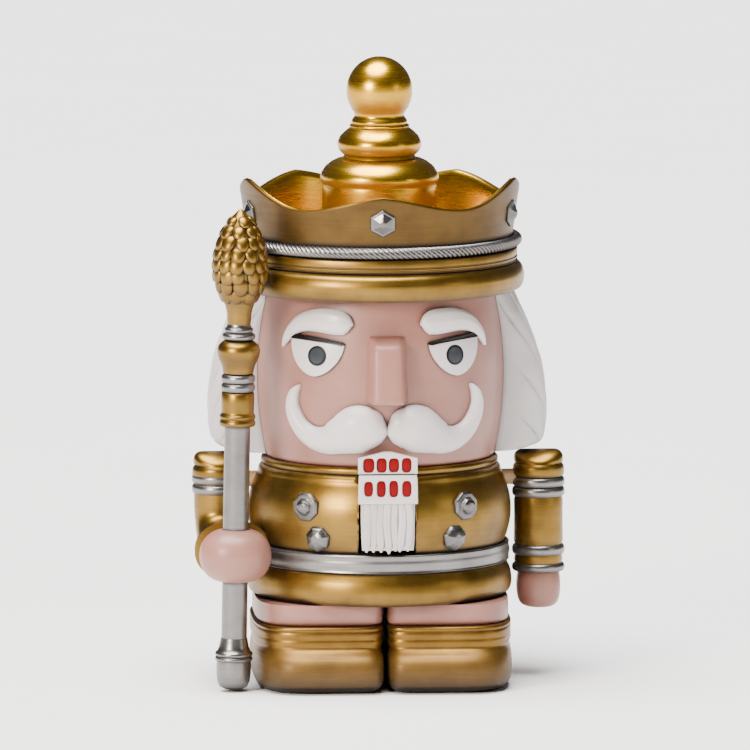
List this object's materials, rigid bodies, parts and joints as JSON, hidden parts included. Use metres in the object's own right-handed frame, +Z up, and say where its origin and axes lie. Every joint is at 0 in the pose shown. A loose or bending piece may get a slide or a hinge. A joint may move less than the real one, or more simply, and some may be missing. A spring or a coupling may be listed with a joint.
{
  "type": "nutcracker figure",
  "caption": "Squat nutcracker king with a crown, curled moustache, a jaw worked by a lever at the back, a swinging arm and a staff held in its fist.",
  "frame": {"origin": "on the floor under the figure's upright axis, at the centre of its footprint", "axes": "+Z up along the figure, -Y out of its face, +X towards its left arm"},
  "size_m": [0.0938, 0.0768, 0.1564],
  "materials": {
    "gold_lacquer": "satin gold lacquer over cast resin, darker wash in the creases",
    "silver_lacquer": "satin silver lacquer over cast resin",
    "skin_paint": "semi-gloss pink paint over cast resin",
    "white_paint": "semi-gloss off-white paint over cast resin",
    "beech": "plain turned dowel",
    "steel": "bright drawn pin"
  },
  "bodies": {
    "figure": {"torso": "gold_lacquer", "jacket_skirt": "gold_lacquer", "right_boot": "gold_lacquer", "left_boot": "gold_lacquer", "hat_band": "gold_lacquer", "crown_wall": "gold_lacquer", "hat_top": "gold_lacquer", "finial_base": "gold_lacquer", "finial_bead": "gold_lacquer", "finial_ball": "gold_lacquer", "right_sleeve": "gold_lacquer", "belt": "silver_lacquer", "right_upper_button": "silver_lacquer", "left_upper_button": "silver_lacquer", "right_lower_button": "silver_lacquer", "left_lower_button": "silver_lacquer", "crown_cord": "silver_lacquer", "crown_gem_1": "silver_lacquer", "crown_gem_2": "silver_lacquer", "crown_gem_3": "silver_lacquer", "crown_gem_4": "silver_lacquer", "crown_gem_5": "silver_lacquer", "right_upper_band": "silver_lacquer", "right_cuff": "silver_lacquer", "right_leg": "skin_paint", "left_leg": "skin_paint", "head": "skin_paint", "nose": "skin_paint", "right_fist": "skin_paint", "right_eye": "white_paint", "left_eye": "white_paint", "right_eyebrow": "white_paint", "left_eyebrow": "white_paint", "right_moustache": "white_paint", "left_moustache": "white_paint", "upper_teeth": "white_paint", "hair": "white_paint", "right_leg_dowel": "beech", "left_leg_dowel": "beech", "right_neck_dowel": "beech", "left_neck_dowel": "beech", "right_shoulder_peg": "beech", "jaw_pin": "steel"},
    "jaw": {"jaw_lever": "gold_lacquer", "lower_teeth": "white_paint", "beard": "white_paint"},
    "left_arm": {"left_sleeve": "gold_lacquer", "left_upper_band": "silver_lacquer", "left_lower_band": "silver_lacquer", "left_cuff": "silver_lacquer", "left_hand": "skin_paint", "left_shoulder_peg": "beech"},
    "staff": {"staff_rod": "silver_lacquer", "staff_foot": "silver_lacquer", "staff_ferrule": "gold_lacquer", "staff_collar": "silver_lacquer", "staff_knob": "gold_lacquer", "staff_neck": "silver_lacquer", "staff_cone": "gold_lacquer"}
  },
  "joints": [
    {"name": "jaw_hinge", "type": "hinge", "parent": "figure", "child": "jaw", "pos_m": [0, 0, 0.037], "axis": [1, 0, 0], "range_deg": [0, 12]},
    {"name": "left_arm_swing", "type": "hinge", "parent": "figure", "child": "left_arm", "pos_m": [0.0385, 0.004, 0.05], "axis": [-1, 0, 0], "range_deg": [-15, 90]},
    {"name": "staff_slide", "type": "slide", "parent": "figure", "child": "staff", "axis": [0.0155, -0.021, 0.9997], "range_m": [0, 0.014]}
  ]
}
